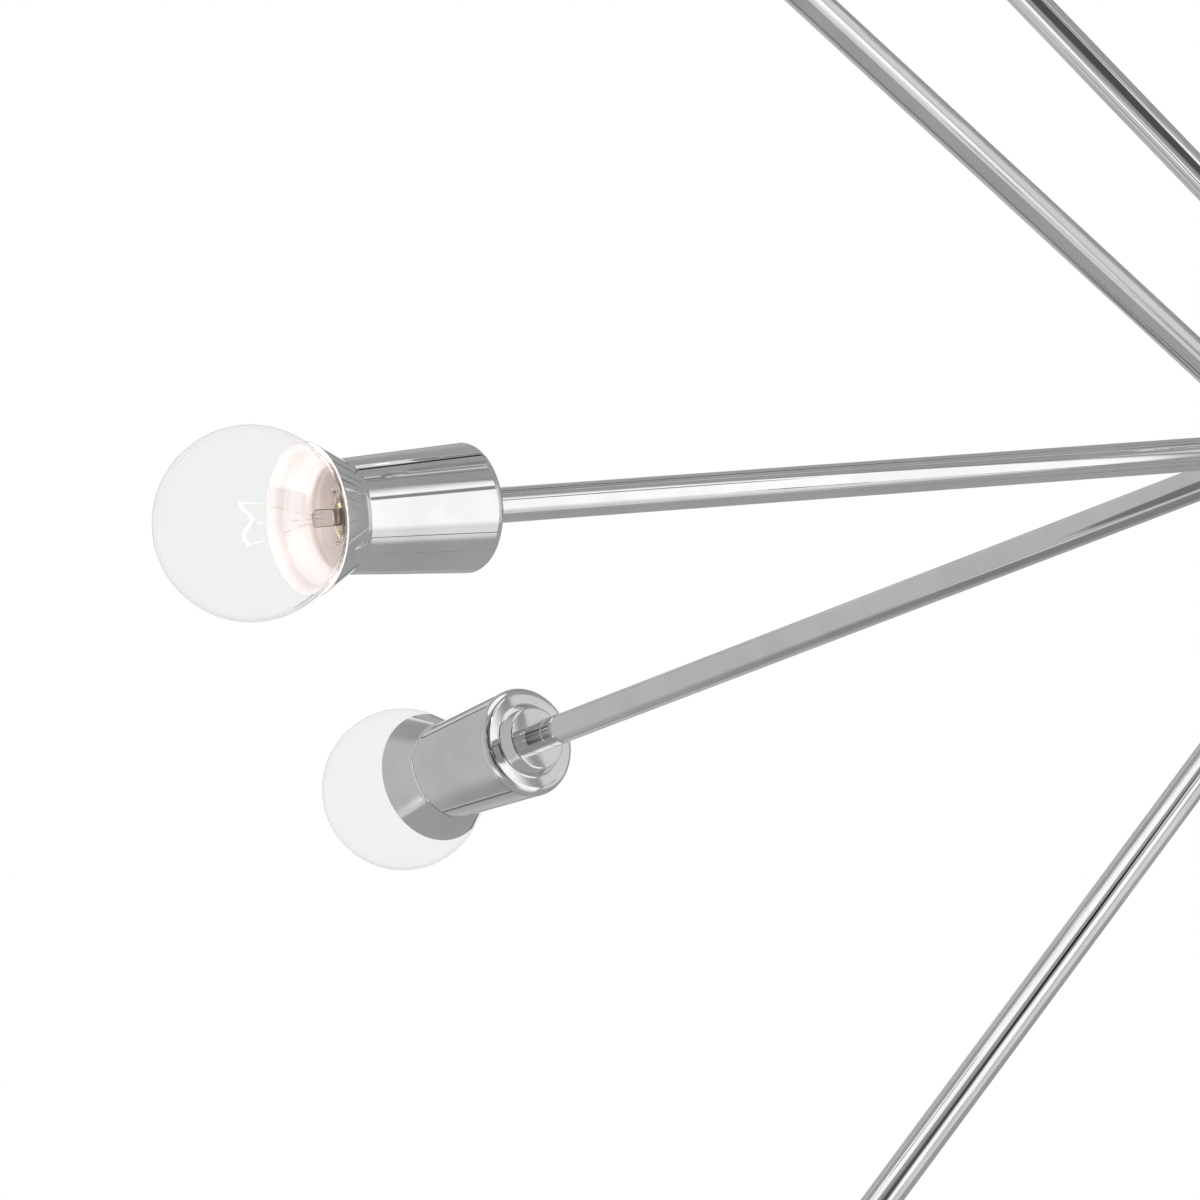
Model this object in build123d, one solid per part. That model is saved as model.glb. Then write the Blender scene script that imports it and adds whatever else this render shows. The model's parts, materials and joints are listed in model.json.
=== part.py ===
from build123d import *
from math import cos, radians, sin, sqrt
import os

# A ten-light sputnik chandelier: straight tube arms screwed into a two-ball hub, each arm ending in a
# spun metal cup that holds a clear globe bulb. The hub hangs from a two-part stem, a hang-straight
# knuckle and a round ceiling canopy. Millimetres. The origin is on the ceiling plane at the centre of
# the outlet box slots, +Z is up and +X runs along the crossbar and the hub.

os.makedirs("parts", exist_ok=True)

# ---------------------------------------------------------------- fits and clearances
THREAD_GAP = 0.05  # radial play of a screwed joint, modelled with plain cylinders
PIN_GAP = 0.05  # radial play of the knuckle pin in the part that turns on it
TURN_GAP = 0.3  # between faces that turn past each other
PLUG_IN_GAP = 0.3  # radial play of the bulb's base in its socket
GLASS_GAP = 0.5  # between the globe and the cup's rim
BLIND_GAP = 0.5  # left under a spigot at the bottom of its blind thread
CUT_OVER = 1.0  # how far a cutting shape runs past what it cuts

# ---------------------------------------------------------------- tube and its threaded ends
TUBE_R = 9.525 / 2
TUBE_BORE_R = 2.6
SPIGOT_R = 4.0  # turned-down, threaded ends of every tube
HUB_SPIGOT = 5.0
STEM_SPIGOT = 7.5
HEAD_SPIGOT = 16.0  # long enough for the cup's wall, the locknut and the socket

# ---------------------------------------------------------------- arms
BALL_SPACING = 56.0
SHORT_REACH = 278.0  # ball centre to the back face of the cup
LONG_REACH = 368.0
# Azimuth from +X, elevation, reach, and the ball each arm leaves, as -1 at -X or +1 at +X.
# Each arm has a partner turned half way round the stem, on the other ball, so the hub hangs level.
ARM_LINES = [
    (185.7, 36.2, SHORT_REACH, -1),
    (151.4, 45.9, SHORT_REACH, 1),
    (180.0, 0.0, SHORT_REACH, -1),
    (95.3, -19.2, LONG_REACH, -1),
    (193.2, -37.6, LONG_REACH, 1),
]

# ---------------------------------------------------------------- hub
BALL_R = 20.0
BALL_WALL = 4.5
ARM_FACE_R = 5.6  # flat spot on the ball under each arm's shoulder
TEE_R = 7.5
TEE_FACE_R = 8.3
TEE_SPIGOT_R = 6.0
TEE_SPIGOT = 4.5
TEE_BORE_R = 3.2
TEE_BOSS_R = 7.0
TEE_BOSS_HEIGHT = 15.0
PLUG_R = 8.0
PLUG_FACE_R = 9.6
PLUG_DEPTH = 4.0
PLUG_EDGE = 1.2
PLUG_DOME = 2.0
PLUG_SLOT_WIDTH = 1.6
PLUG_SLOT_DEPTH = 1.2

# ---------------------------------------------------------------- cup
CUP_WALL = 1.0
BOSS_HEIGHT = 4.0
BOSS_FACE_R = 10.0
BOSS_BASE_R = 11.6
BOSS_ROUND = 0.8
SHOULDER_R = 17.6
SHOULDER_ROUND = 2.6
NECK_R = 15.4
NECK_ROUND = 1.5
BODY_LENGTH = 41.5
COLLAR_LENGTH = 10.0
RIM_R = 20.8
RIM_WALL = 0.8
LOCKNUT_FLATS = 13.0
LOCKNUT_HEIGHT = 4.0

# ---------------------------------------------------------------- bulb: 52 mm globe on a 12 mm screw base
GLOBE_R = 26.0
GLASS_WALL = 0.8
BULB_LENGTH = 73.5
GLASS_NECK_R = 7.2
GLASS_NECK_ROUND = 3.0
BASE_R = 5.9
BASE_WALL = 0.4
BASE_FLANGE_R = 7.0
BASE_SHELL_TOP = 15.0  # heights above the contact tip
BASE_HEIGHT = 17.5
BASE_CONE = 2.6  # height of the insulating cone between the tip and the shell
GLASS_SEAT_HEIGHT = 6.0
GLASS_SEAT_WALL = 1.0  # glass at the neck's closed end
GLASS_SEAT_GAP = 1.0  # between that end and the base's floor
GLASS_FLARE = 1.2  # height over which the neck widens above the base
CEMENT_GAP = 0.1  # between the glass and the base that is cemented round it
TIP_R = 2.3
TIP_HEIGHT = 1.2
MOUNT_ROD_R = 2.4  # glass stem inside the globe
MOUNT_ROD_TOP = 28.0
MOUNT_ROD_ROUND = 1.5

# ---------------------------------------------------------------- socket
SOCKET_R = 8.2
SOCKET_WALL = 1.6
SOCKET_TOP = 15.0  # above the bulb's contact tip
SOCKET_FLOOR = 6.0
SCREW_SHELL_WALL = 0.4
SHELL_FLANGE_R = 3.2
CONTACT_R = 2.4
CONTACT_STEM_R = 1.5
CONTACT_HEIGHT = 2.2
RIVET_HEIGHT = 0.6

# ---------------------------------------------------------------- stem
UPPER_STEM = 150.0
LOWER_STEM = 275.0
COUPLING_R = 6.5
COUPLING_LENGTH = 16.0
TURNED_EDGE = 0.8  # chamfer on the turned pieces' outer edges

# ---------------------------------------------------------------- hang-straight knuckle
KNUCKLE_R = 11.0
FORK_COLLAR = 9.0
TONGUE_THICKNESS = 8.0
TONGUE_SIDE_GAP = 0.2
TONGUE_R = 7.0
TONGUE_ROOF_GAP = 1.0
EAR_BELOW_PIN = 4.5
PIN_R = 2.5
PIN_HEAD_R = 4.0
PIN_HEAD = 1.5
TILT_LIMIT = 40.0
STOP_GAP = 0.3
TONGUE_COLLAR_R = 7.5
TONGUE_COLLAR = 12.0
WIRE_HOLE_R = 2.0

# ---------------------------------------------------------------- ceiling fixing
CANOPY_R = 63.5
CANOPY_DEPTH = 24.0
CANOPY_WALL = 1.2
CANOPY_ROUND = 12.0
BOX_SLOT_SPACING = 88.9
BOX_SLOT_LENGTH = 10.0
BOX_SLOT_WIDTH = 4.8
BAR_LENGTH = 108.0
BAR_WIDTH = 22.0
BAR_THICKNESS = 2.5
BAR_CORNER_R = 7.0
STUD_SPACING = 69.85
STUD_R = 2.05
STUD_PAST_CANOPY = 8.0
STUD_HOLE_PLAY = 0.4
KNOB_R = 6.0
KNOB_NECK_R = 4.2
KNOB_NECK = 1.0
KNOB_BORE = 9.0
NIPPLE_R = 4.9
NIPPLE_BORE_R = 3.2
NIPPLE_HOLE_PLAY = 0.4
NIPPLE_NUT_FLATS = 15.0
NIPPLE_NUT_HEIGHT = 3.0

# ---------------------------------------------------------------- worked-out places
THREADED_R = SPIGOT_R + THREAD_GAP
BALL_INNER_R = BALL_R - BALL_WALL
ARM_SEAT = sqrt(BALL_R**2 - ARM_FACE_R**2)  # distances from a ball's centre to its flat spots
TEE_SEAT = sqrt(BALL_R**2 - TEE_FACE_R**2)
PLUG_SEAT = sqrt(BALL_R**2 - PLUG_FACE_R**2)
TEE_HALF = BALL_SPACING / 2 - TEE_SEAT

BASE_INNER_R = BASE_R - BASE_WALL
FLANGE_INNER_R = BASE_FLANGE_R - BASE_WALL

# Along an arm, heights above the cup's back face.
NUT_BOTTOM = CUP_WALL - BOSS_HEIGHT
SOCKET_BOTTOM = NUT_BOTTOM + LOCKNUT_HEIGHT
RIM_HEIGHT = BODY_LENGTH + COLLAR_LENGTH
GLOBE_CENTRE = RIM_HEIGHT + sqrt((GLOBE_R + GLASS_GAP) ** 2 - (RIM_R - RIM_WALL) ** 2)
BULB_TIP = GLOBE_CENTRE + GLOBE_R - BULB_LENGTH
CONTACT_TOP = BULB_TIP - TURN_GAP
SOCKET_FLOOR_TOP = CONTACT_TOP - CONTACT_HEIGHT
SOCKET_FLOOR_BOTTOM = SOCKET_FLOOR_TOP - SOCKET_FLOOR

# Down from the ceiling.
FORK_TOP = -CANOPY_DEPTH - TURN_GAP
SLOT_ROOF = FORK_TOP - FORK_COLLAR
PIN_Z = SLOT_ROOF - TONGUE_ROOF_GAP - TONGUE_R
EAR_END = PIN_Z - EAR_BELOW_PIN
SLOT_WIDTH = TONGUE_THICKNESS + 2 * TONGUE_SIDE_GAP
EAR_HALF_WIDTH = sqrt(KNUCKLE_R**2 - (SLOT_WIDTH / 2) ** 2)
# The ears' corners meet the tongue's collar just past the tilt limit.
COLLAR_DROP = (
    EAR_HALF_WIDTH * sin(radians(TILT_LIMIT))
    + EAR_BELOW_PIN * cos(radians(TILT_LIMIT))
    + STOP_GAP
)
COLLAR_TOP = PIN_Z - COLLAR_DROP
UPPER_STEM_TOP = COLLAR_TOP - TONGUE_COLLAR
COUPLING_TOP = UPPER_STEM_TOP - UPPER_STEM
LOWER_STEM_TOP = COUPLING_TOP - COUPLING_LENGTH
HUB_Z = LOWER_STEM_TOP - LOWER_STEM - TEE_BOSS_HEIGHT


def turned(outline, rounds=()):
    """A solid of revolution about Z from a closed half-section.

    outline is a list of (radius, height) points, or a closed curve; rounds lists (point, fillet radius).
    """
    curve = Polyline(*outline, close=True) if isinstance(outline, list) else outline
    section = make_face(curve)
    for point, size in rounds:
        corner = section.vertices().sort_by_distance((*point, 0))[0]
        section = fillet(corner, size)
    return revolve(Plane.XZ * section, Axis.Z)


def rod(radius, bottom, top):
    """A plain cylinder about Z between two heights."""
    return Pos(0, 0, (bottom + top) / 2) * Cylinder(radius, top - bottom)


def turned_rod(radius, bottom, top, chamfered):
    """A cylinder about Z with a chamfered edge at each of the given heights."""
    blank = rod(radius, bottom, top)
    rims = blank.edges().filter_by(GeomType.CIRCLE)
    edges = [rims.sort_by_distance((0, 0, height))[0] for height in chamfered]
    return chamfer(edges, TURNED_EDGE)


def hex_nut(flats, bore_r, bottom, height):
    """A hexagon nut about Z."""
    hexagon = RegularPolygon(flats / 2, 6, major_radius=False) - Circle(bore_r)
    return Pos(0, 0, bottom) * extrude(hexagon, height)


def threaded_tube(length, bottom_spigot, top_spigot):
    """A bored tube from 0 to length about Z, with a smaller threaded spigot past each end."""
    return turned(
        [
            (TUBE_BORE_R, -bottom_spigot),
            (SPIGOT_R, -bottom_spigot),
            (SPIGOT_R, 0),
            (TUBE_R, 0),
            (TUBE_R, length),
            (SPIGOT_R, length),
            (SPIGOT_R, length + top_spigot),
            (TUBE_BORE_R, length + top_spigot),
        ]
    )


def save(name, shape):
    """Write one node; a list becomes a group of separate solids."""
    if isinstance(shape, list):
        shape = Compound(children=[Part() + piece for piece in shape])
    export_step(shape, f"parts/{name}.step")


# ---------------------------------------------------------------- one light, along +Z from its ball's centre
def cup_shell():
    """Spun cup: raised boss, rounded shoulder, long taper and a short flared collar."""
    shoulder = (SHOULDER_R, 0)
    neck = (NECK_R, BODY_LENGTH)
    boss_edge = (BOSS_FACE_R, -BOSS_HEIGHT)
    boss_foot = (BOSS_BASE_R, 0)
    inner_neck = (NECK_R - CUP_WALL, BODY_LENGTH)
    inner_shoulder = (SHOULDER_R - CUP_WALL, CUP_WALL)
    outline = [
        (THREADED_R, -BOSS_HEIGHT),
        boss_edge,
        boss_foot,
        shoulder,
        neck,
        (RIM_R, RIM_HEIGHT),
        (RIM_R - RIM_WALL, RIM_HEIGHT),
        inner_neck,
        inner_shoulder,
        (BOSS_BASE_R - CUP_WALL, CUP_WALL),
        (BOSS_FACE_R - CUP_WALL, CUP_WALL - BOSS_HEIGHT),
        (THREADED_R, CUP_WALL - BOSS_HEIGHT),
    ]
    rounds = [
        (boss_edge, BOSS_ROUND),
        (boss_foot, BOSS_ROUND),
        (shoulder, SHOULDER_ROUND),
        (neck, NECK_ROUND),
        (inner_neck, NECK_ROUND),
        (inner_shoulder, SHOULDER_ROUND - CUP_WALL),
    ]
    return turned(outline, rounds)


def socket_insulator():
    """Socket body, screwed on the arm's end against the locknut."""
    cavity_r = SOCKET_R - SOCKET_WALL
    rivet_hole_r = CONTACT_STEM_R + THREAD_GAP
    return turned(
        [
            (THREADED_R, SOCKET_BOTTOM),
            (SOCKET_R, SOCKET_BOTTOM),
            (SOCKET_R, BULB_TIP + SOCKET_TOP),
            (cavity_r, BULB_TIP + SOCKET_TOP),
            (cavity_r, SOCKET_FLOOR_TOP),
            (rivet_hole_r, SOCKET_FLOOR_TOP),
            (rivet_hole_r, SOCKET_FLOOR_BOTTOM),
            (THREADED_R, SOCKET_FLOOR_BOTTOM),
        ]
    )


def socket_screw_shell():
    """Metal screw shell with a bottom flange, standing on the socket's floor."""
    inner_r = BASE_R + PLUG_IN_GAP
    outer_r = inner_r + SCREW_SHELL_WALL
    return turned(
        [
            (SHELL_FLANGE_R, SOCKET_FLOOR_TOP),
            (outer_r, SOCKET_FLOOR_TOP),
            (outer_r, BULB_TIP + SOCKET_TOP),
            (inner_r, BULB_TIP + SOCKET_TOP),
            (inner_r, SOCKET_FLOOR_TOP + SCREW_SHELL_WALL),
            (SHELL_FLANGE_R, SOCKET_FLOOR_TOP + SCREW_SHELL_WALL),
        ]
    )


def socket_contact():
    """Centre contact with its rivet through the socket's floor."""
    return turned(
        [
            (0, SOCKET_FLOOR_BOTTOM - RIVET_HEIGHT),
            (CONTACT_R, SOCKET_FLOOR_BOTTOM - RIVET_HEIGHT),
            (CONTACT_R, SOCKET_FLOOR_BOTTOM),
            (CONTACT_STEM_R, SOCKET_FLOOR_BOTTOM),
            (CONTACT_STEM_R, SOCKET_FLOOR_TOP),
            (CONTACT_R, SOCKET_FLOOR_TOP),
            (CONTACT_R, CONTACT_TOP),
            (0, CONTACT_TOP),
        ]
    )


def bulb_base():
    """Screw base: contact tip, insulating cone, shell and the flange that grips the glass."""
    cup_floor = GLASS_SEAT_HEIGHT - GLASS_SEAT_GAP
    tip_edge = (TIP_R, 0)
    outline = [
        (0, 0),
        tip_edge,
        (TIP_R, TIP_HEIGHT),
        (BASE_R, TIP_HEIGHT + BASE_CONE),
        (BASE_R, BASE_SHELL_TOP),
        (BASE_FLANGE_R, BASE_HEIGHT),
        (FLANGE_INNER_R, BASE_HEIGHT),
        (BASE_INNER_R, BASE_SHELL_TOP),
        (BASE_INNER_R, cup_floor),
        (0, cup_floor),
    ]
    return Pos(0, 0, BULB_TIP) * turned(outline, [(tip_edge, TIP_HEIGHT / 2)])


def bulb_glass():
    """Blown globe with its neck and the glass rod that carries the filament, one piece of glass."""
    centre = BULB_LENGTH - GLOBE_R
    inner_globe_r = GLOBE_R - GLASS_WALL
    inner_neck_r = GLASS_NECK_R - GLASS_WALL
    seat_r = BASE_INNER_R - CEMENT_GAP
    grip_r = FLANGE_INNER_R - CEMENT_GAP
    outer_join = (GLASS_NECK_R, centre - sqrt(GLOBE_R**2 - GLASS_NECK_R**2))
    inner_join = (inner_neck_r, centre - sqrt(inner_globe_r**2 - inner_neck_r**2))
    neck_foot = BASE_HEIGHT + GLASS_FLARE
    seat_inside = GLASS_SEAT_HEIGHT + GLASS_SEAT_WALL
    rod_edge = (MOUNT_ROD_R, MOUNT_ROD_TOP)
    outside = Polyline(
        (0, GLASS_SEAT_HEIGHT),
        (seat_r, GLASS_SEAT_HEIGHT),
        (seat_r, BASE_SHELL_TOP),
        (grip_r, BASE_HEIGHT),
        (GLASS_NECK_R, neck_foot),
        outer_join,
    )
    globe = ThreePointArc(outer_join, (GLOBE_R, centre), (0, centre + GLOBE_R))
    crown = Line((0, centre + GLOBE_R), (0, centre + inner_globe_r))
    globe_inside = ThreePointArc(
        (0, centre + inner_globe_r), (inner_globe_r, centre), inner_join
    )
    inside = Polyline(
        inner_join,
        (inner_neck_r, neck_foot),
        (grip_r - GLASS_WALL, BASE_HEIGHT),
        (seat_r - GLASS_WALL, BASE_SHELL_TOP),
        (seat_r - GLASS_WALL, seat_inside),
        (MOUNT_ROD_R, seat_inside),
        rod_edge,
        (0, MOUNT_ROD_TOP),
        (0, GLASS_SEAT_HEIGHT),
    )
    rounds = [
        (outer_join, GLASS_NECK_ROUND),
        (inner_join, GLASS_NECK_ROUND + GLASS_WALL),
        (rod_edge, MOUNT_ROD_ROUND),
    ]
    outline = outside + globe + crown + globe_inside + inside
    return Pos(0, 0, BULB_TIP) * turned(outline, rounds)


# ---------------------------------------------------------------- hub
def ball_plane(side, azimuth, elevation):
    """The frame at a ball's centre with +Z along the given direction."""
    flat = cos(radians(elevation))
    direction = (
        flat * cos(radians(azimuth)),
        flat * sin(radians(azimuth)),
        sin(radians(elevation)),
    )
    return Plane((side * BALL_SPACING / 2, 0, HUB_Z), z_dir=direction)


def bored_seat(plane, hole_r, seat):
    """What is cut from a ball for a part screwed in along plane: the hole and the flat spot."""
    outside = BALL_R + CUT_OVER
    hole = rod(hole_r, 0, outside)
    flat_spot = rod(PLUG_FACE_R + CUT_OVER, seat, outside)
    return plane * hole, plane * flat_spot


def hub_ball(side, arms):
    """Hollow ball with a flat spot and a threaded hole for each arm, the tee and the bottom plug."""
    centre = Pos(side * BALL_SPACING / 2, 0, HUB_Z)
    ball = centre * (Sphere(BALL_R) - Sphere(BALL_INNER_R))
    for plane in arms:
        ball -= bored_seat(plane, THREADED_R, ARM_SEAT)
    inward = ball_plane(side, 0 if side < 0 else 180, 0)
    ball -= bored_seat(inward, TEE_SPIGOT_R + THREAD_GAP, TEE_SEAT)
    ball -= bored_seat(ball_plane(side, 0, -90), PLUG_R + THREAD_GAP, PLUG_SEAT)
    return ball


def hub_plug(side):
    """Slotted screw cap that closes a ball's wiring hole from below."""
    dome_top = PLUG_SEAT + PLUG_EDGE + PLUG_DOME
    edge = (PLUG_FACE_R, PLUG_SEAT + PLUG_EDGE)
    flank = Polyline(
        (0, PLUG_SEAT - PLUG_DEPTH),
        (PLUG_R, PLUG_SEAT - PLUG_DEPTH),
        (PLUG_R, PLUG_SEAT),
        (PLUG_FACE_R, PLUG_SEAT),
        edge,
    )
    dome = RadiusArc(edge, (0, dome_top), -(PLUG_FACE_R**2 + PLUG_DOME**2) / (2 * PLUG_DOME))
    middle = Line((0, dome_top), (0, PLUG_SEAT - PLUG_DEPTH))
    cap = turned(flank + dome + middle)
    slot = Box(2 * (PLUG_FACE_R + CUT_OVER), PLUG_SLOT_WIDTH, 2 * PLUG_SLOT_DEPTH)
    cap -= Pos(0, 0, dome_top) * slot
    return ball_plane(side, 0, -90) * cap


def hub_tee():
    """Block between the balls, with the boss that the stem screws into."""
    along = Plane((0, 0, HUB_Z), z_dir=(1, 0, 0))
    reach = TEE_HALF + TEE_SPIGOT
    tee = along * (rod(TEE_R, -TEE_HALF, TEE_HALF) + rod(TEE_SPIGOT_R, -reach, reach))
    tee += Pos(0, 0, HUB_Z) * turned_rod(TEE_BOSS_R, 0, TEE_BOSS_HEIGHT, [TEE_BOSS_HEIGHT])
    tee -= along * rod(TEE_BORE_R, -reach, reach)
    tee -= Pos(0, 0, HUB_Z) * rod(TUBE_BORE_R, 0, TEE_BOSS_HEIGHT)
    tee -= Pos(0, 0, HUB_Z) * rod(THREADED_R, TEE_BOSS_HEIGHT - STEM_SPIGOT, TEE_BOSS_HEIGHT)
    return tee


# ---------------------------------------------------------------- stem and knuckle
def stem_coupling():
    """Threaded sleeve between the two stems."""
    ends = LOWER_STEM_TOP, COUPLING_TOP
    sleeve = turned_rod(COUPLING_R, *ends, ends)
    return sleeve - rod(THREADED_R, LOWER_STEM_TOP, COUPLING_TOP)


def swivel_fork():
    """Upper half of the knuckle: turns on the nipple and carries the pin."""
    fork = turned_rod(KNUCKLE_R, EAR_END, FORK_TOP, [FORK_TOP])
    slot_height = SLOT_ROOF - EAR_END
    slot = Box(2 * (KNUCKLE_R + CUT_OVER), SLOT_WIDTH, slot_height)
    fork -= Pos(0, 0, SLOT_ROOF - slot_height / 2) * slot
    fork -= rod(NIPPLE_R + THREAD_GAP, SLOT_ROOF, FORK_TOP)
    return fork - pin_hole(PIN_R)


def pin_hole(radius):
    """A cylinder along Y through the knuckle's pin axis."""
    return Pos(0, 0, PIN_Z) * Rot(90, 0, 0) * Cylinder(radius, 2 * (KNUCKLE_R + CUT_OVER))


def swivel_pin():
    """Pin through the ears, headed at one end and riveted flush at the other."""
    pin = rod(PIN_R, -KNUCKLE_R, KNUCKLE_R) + rod(PIN_HEAD_R, KNUCKLE_R, KNUCKLE_R + PIN_HEAD)
    return Pos(0, 0, PIN_Z) * Rot(90, 0, 0) * pin


def swivel_tongue():
    """Lower half of the knuckle: swings on the pin and holds the stem."""
    plate = Pos(0, 0, PIN_Z) * Rot(90, 0, 0) * Cylinder(TONGUE_R, TONGUE_THICKNESS)
    web = Box(2 * TONGUE_R, TONGUE_THICKNESS, COLLAR_DROP)
    tongue = plate + Pos(0, 0, PIN_Z - COLLAR_DROP / 2) * web
    ends = UPPER_STEM_TOP, COLLAR_TOP
    tongue += turned_rod(TONGUE_COLLAR_R, *ends, ends)
    tongue -= rod(THREADED_R, UPPER_STEM_TOP, UPPER_STEM_TOP + STEM_SPIGOT + BLIND_GAP)
    # The wires come up the stem and leave through a cross hole below the pin.
    cross_z = COLLAR_TOP + 2 * WIRE_HOLE_R
    tongue -= rod(WIRE_HOLE_R, UPPER_STEM_TOP, cross_z)
    cross_hole = Cylinder(WIRE_HOLE_R, 2 * (TONGUE_COLLAR_R + CUT_OVER))
    tongue -= Pos(0, 0, cross_z) * Rot(0, 90, 0) * cross_hole
    return tongue - pin_hole(PIN_R + PIN_GAP)


# ---------------------------------------------------------------- ceiling fixing
def at_spacing(spacing, shape):
    """Two copies of a shape, at plus and minus half a spacing along X."""
    return [Pos(side * spacing / 2, 0, 0) * shape for side in (-1, 1)]


def crossbar():
    """Strap that is screwed to the outlet box."""
    outline = RectangleRounded(BAR_LENGTH, BAR_WIDTH, BAR_CORNER_R)
    slot = SlotOverall(BOX_SLOT_LENGTH, BOX_SLOT_WIDTH)
    for hole in at_spacing(BOX_SLOT_SPACING, slot):
        outline -= hole
    for hole in at_spacing(STUD_SPACING, Circle(STUD_R + THREAD_GAP)):
        outline -= hole
    outline -= Circle(NIPPLE_R + THREAD_GAP)
    return Pos(0, 0, -BAR_THICKNESS) * extrude(outline, BAR_THICKNESS)


def canopy():
    """Spun dish that covers the outlet box."""
    nipple_hole_r = NIPPLE_R + NIPPLE_HOLE_PLAY
    bottom_edge = (CANOPY_R, -CANOPY_DEPTH)
    inner_edge = (CANOPY_R - CANOPY_WALL, CANOPY_WALL - CANOPY_DEPTH)
    outline = [
        (nipple_hole_r, -CANOPY_DEPTH),
        bottom_edge,
        (CANOPY_R, 0),
        (CANOPY_R - CANOPY_WALL, 0),
        inner_edge,
        (nipple_hole_r, CANOPY_WALL - CANOPY_DEPTH),
    ]
    rounds = [(bottom_edge, CANOPY_ROUND), (inner_edge, CANOPY_ROUND - CANOPY_WALL)]
    dish = turned(outline, rounds)
    for hole in at_spacing(STUD_SPACING, rod(STUD_R + STUD_HOLE_PLAY, -CANOPY_DEPTH, 0)):
        dish -= hole
    return dish


def canopy_knob():
    """Ball-shaped cap nut under the canopy."""
    ball_centre = -CANOPY_DEPTH - KNOB_NECK - sqrt(KNOB_R**2 - KNOB_NECK_R**2)
    knob = Pos(0, 0, ball_centre) * Sphere(KNOB_R)
    knob &= rod(KNOB_R, ball_centre - KNOB_R, -CANOPY_DEPTH - KNOB_NECK)
    knob += rod(KNOB_NECK_R, -CANOPY_DEPTH - KNOB_NECK, -CANOPY_DEPTH)
    return knob - rod(STUD_R + THREAD_GAP, -CANOPY_DEPTH - KNOB_BORE, -CANOPY_DEPTH)


def nipple():
    """Threaded tube that carries the knuckle."""
    tube = rod(NIPPLE_R, SLOT_ROOF, 0)
    return tube - rod(NIPPLE_BORE_R, SLOT_ROOF, 0)


def main():
    shell = cup_shell()
    insulator = socket_insulator()
    screw_shell = socket_screw_shell()
    contact = socket_contact()
    locknut = hex_nut(LOCKNUT_FLATS, THREADED_R, NUT_BOTTOM, LOCKNUT_HEIGHT)
    glass = bulb_glass()
    base = bulb_base()

    partners = [(azimuth + 180, *rest, -side) for azimuth, *rest, side in ARM_LINES]
    groups = {"socket_insulators": [], "socket_screw_shells": [], "socket_contacts": []}
    groups["head_locknuts"] = []
    arm_planes = {-1: [], 1: []}
    for number, (azimuth, elevation, reach, side) in enumerate(ARM_LINES + partners, 1):
        plane = ball_plane(side, azimuth, elevation)
        arm_planes[side].append(plane)
        tube = threaded_tube(reach - BOSS_HEIGHT - ARM_SEAT, HUB_SPIGOT, HEAD_SPIGOT)
        save(f"arm_{number:02d}", plane * Pos(0, 0, ARM_SEAT) * tube)
        head = plane * Pos(0, 0, reach)
        save(f"cup_shell_{number:02d}", head * shell)
        save(f"bulb_glass_{number:02d}", head * glass)
        save(f"bulb_base_{number:02d}", head * base)
        groups["socket_insulators"].append(head * insulator)
        groups["socket_screw_shells"].append(head * screw_shell)
        groups["socket_contacts"].append(head * contact)
        groups["head_locknuts"].append(head * locknut)
    for name, pieces in groups.items():
        save(name, pieces)

    save("hub_ball_left", hub_ball(-1, arm_planes[-1]))
    save("hub_ball_right", hub_ball(1, arm_planes[1]))
    save("hub_tee", hub_tee())
    save("hub_plugs", [hub_plug(side) for side in (-1, 1)])
    lower = threaded_tube(LOWER_STEM, STEM_SPIGOT, STEM_SPIGOT)
    save("lower_stem", Pos(0, 0, LOWER_STEM_TOP - LOWER_STEM) * lower)
    save("stem_coupling", stem_coupling())
    upper = threaded_tube(UPPER_STEM, STEM_SPIGOT, STEM_SPIGOT)
    save("upper_stem", Pos(0, 0, COUPLING_TOP) * upper)
    save("swivel_tongue", swivel_tongue())
    save("swivel_pin", swivel_pin())
    save("swivel_fork", swivel_fork())
    save("nipple", nipple())
    nut_bottom = -BAR_THICKNESS - NIPPLE_NUT_HEIGHT
    nut = hex_nut(NIPPLE_NUT_FLATS, NIPPLE_R + THREAD_GAP, nut_bottom, NIPPLE_NUT_HEIGHT)
    save("nipple_nut", nut)
    save("crossbar", crossbar())
    save("canopy", canopy())
    stud = rod(STUD_R, -CANOPY_DEPTH - STUD_PAST_CANOPY, 0)
    save("canopy_studs", at_spacing(STUD_SPACING, stud))
    save("canopy_knobs", at_spacing(STUD_SPACING, canopy_knob()))


main()
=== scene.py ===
import json
from cmath import phase, rect
from math import asin, cos, pi, radians, sin, sqrt, tan

import bmesh
import bpy
from mathutils import Matrix, Vector


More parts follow.
